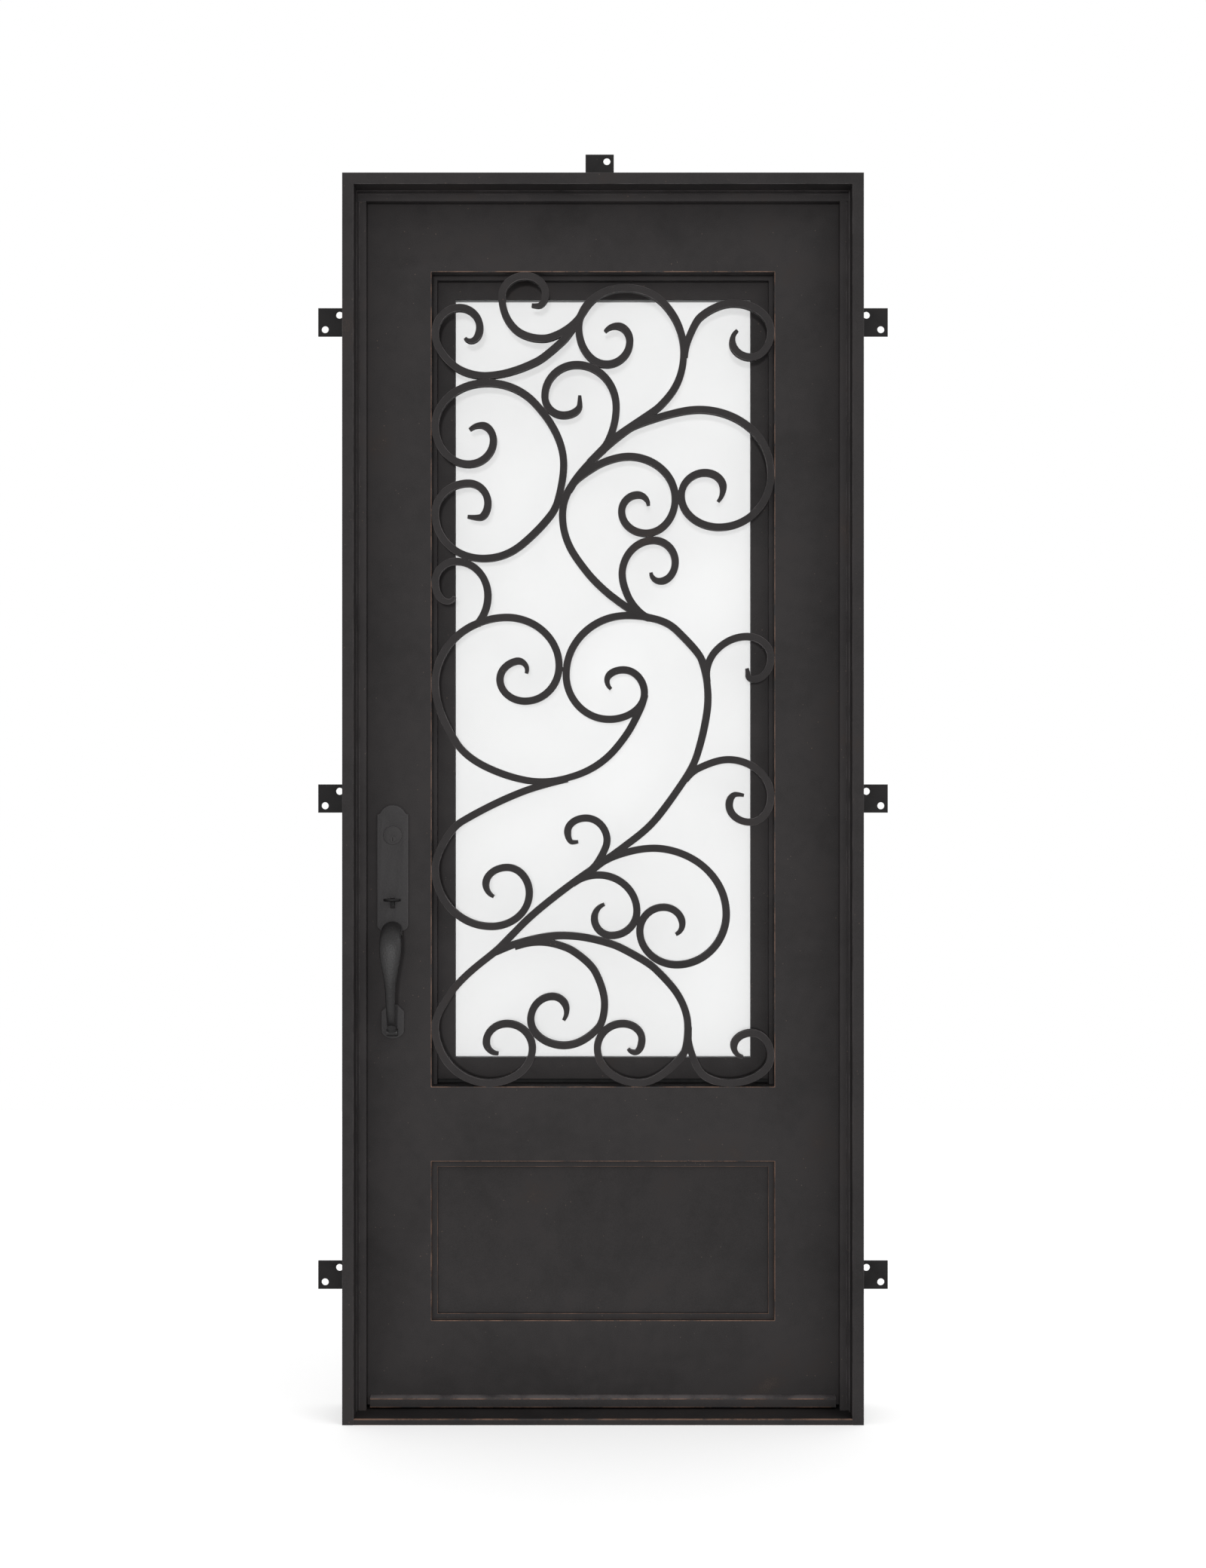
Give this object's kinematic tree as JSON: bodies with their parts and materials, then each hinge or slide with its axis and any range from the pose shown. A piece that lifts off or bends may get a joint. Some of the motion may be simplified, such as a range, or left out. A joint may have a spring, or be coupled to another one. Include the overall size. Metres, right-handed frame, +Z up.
{
  "type": "glazed entrance door",
  "caption": "Single steel entrance door in its frame, with a scroll grille over an insulated glass, a stepped lower panel, a drip strip and a handleset.",
  "frame": {"origin": "on the sill's underside, midway between the jambs and midway through the frame's depth", "axes": "+X right seen from outside, +Y inwards, +Z up"},
  "size_m": [1.128, 0.204, 2.4944],
  "materials": {
    "powder_coated_steel": "satin charcoal powder coat with worn coppery edges",
    "handle_bronze": "dark bronze coat on a cast, lightly hammered surface",
    "insulated_glass": "pale frosted insulated glass",
    "seal_rubber": "matt",
    "lock_steel": "brushed"
  },
  "bodies": {
    "frame": {"jamb_left": "powder_coated_steel", "jamb_right": "powder_coated_steel", "head_jamb": "powder_coated_steel", "sill": "powder_coated_steel", "stop_left": "powder_coated_steel", "stop_right": "powder_coated_steel", "stop_head": "powder_coated_steel", "weatherstrip": "seal_rubber", "mounting_tabs_left": "powder_coated_steel", "mounting_tabs_right": "powder_coated_steel", "mounting_tab_top": "powder_coated_steel", "strike_plate": "lock_steel", "hinge_lower_frame_half": "powder_coated_steel", "hinge_middle_frame_half": "powder_coated_steel", "hinge_upper_frame_half": "powder_coated_steel"},
    "leaf": {"hinge_lower_leaf_half": "powder_coated_steel", "hinge_middle_leaf_half": "powder_coated_steel", "hinge_upper_leaf_half": "powder_coated_steel", "leaf_stile_lock": "powder_coated_steel", "leaf_stile_hinge": "powder_coated_steel", "leaf_rail_top": "powder_coated_steel", "leaf_rail_middle": "powder_coated_steel", "leaf_rail_bottom": "powder_coated_steel", "lower_panel": "powder_coated_steel", "drip_strip": "powder_coated_steel", "bottom_sweep": "seal_rubber", "sash_stop_strip": "powder_coated_steel", "sash_frame": "powder_coated_steel", "insulated_glass": "insulated_glass", "glazing_bead": "powder_coated_steel", "sash_hinges": "powder_coated_steel", "sash_latches": "powder_coated_steel", "scroll_grille": "powder_coated_steel", "lock_faceplate": "lock_steel", "handle_backplate": "handle_bronze", "handle_grip": "handle_bronze", "handle_rosette": "handle_bronze", "lock_cylinder": "handle_bronze", "inner_escutcheon": "handle_bronze", "inner_lever": "handle_bronze", "inner_thumb_turn": "handle_bronze"},
    "thumb_piece": {"thumb_piece": "handle_bronze"},
    "key_plug": {"key_plug": "handle_bronze"}
  },
  "joints": [
    {"name": "leaf_swing", "type": "hinge", "parent": "frame", "child": "leaf", "pos_m": [0.48275, 0.087, 1.2192], "axis": [0, 0, -1], "range_deg": [0, 105]},
    {"name": "thumb_press", "type": "hinge", "parent": "leaf", "child": "thumb_piece", "pos_m": [-0.4165, -0.001, 1.012], "axis": [1, 0, 0], "range_deg": [0, 16], "stiffness_Nm_per_rad": 1.5, "springref_deg": -5.73},
    {"name": "key_turn", "type": "hinge", "parent": "leaf", "child": "key_plug", "pos_m": [-0.4165, -0.004, 1.1383], "axis": [0, 1, 0], "range_deg": [-90, 90]}
  ]
}
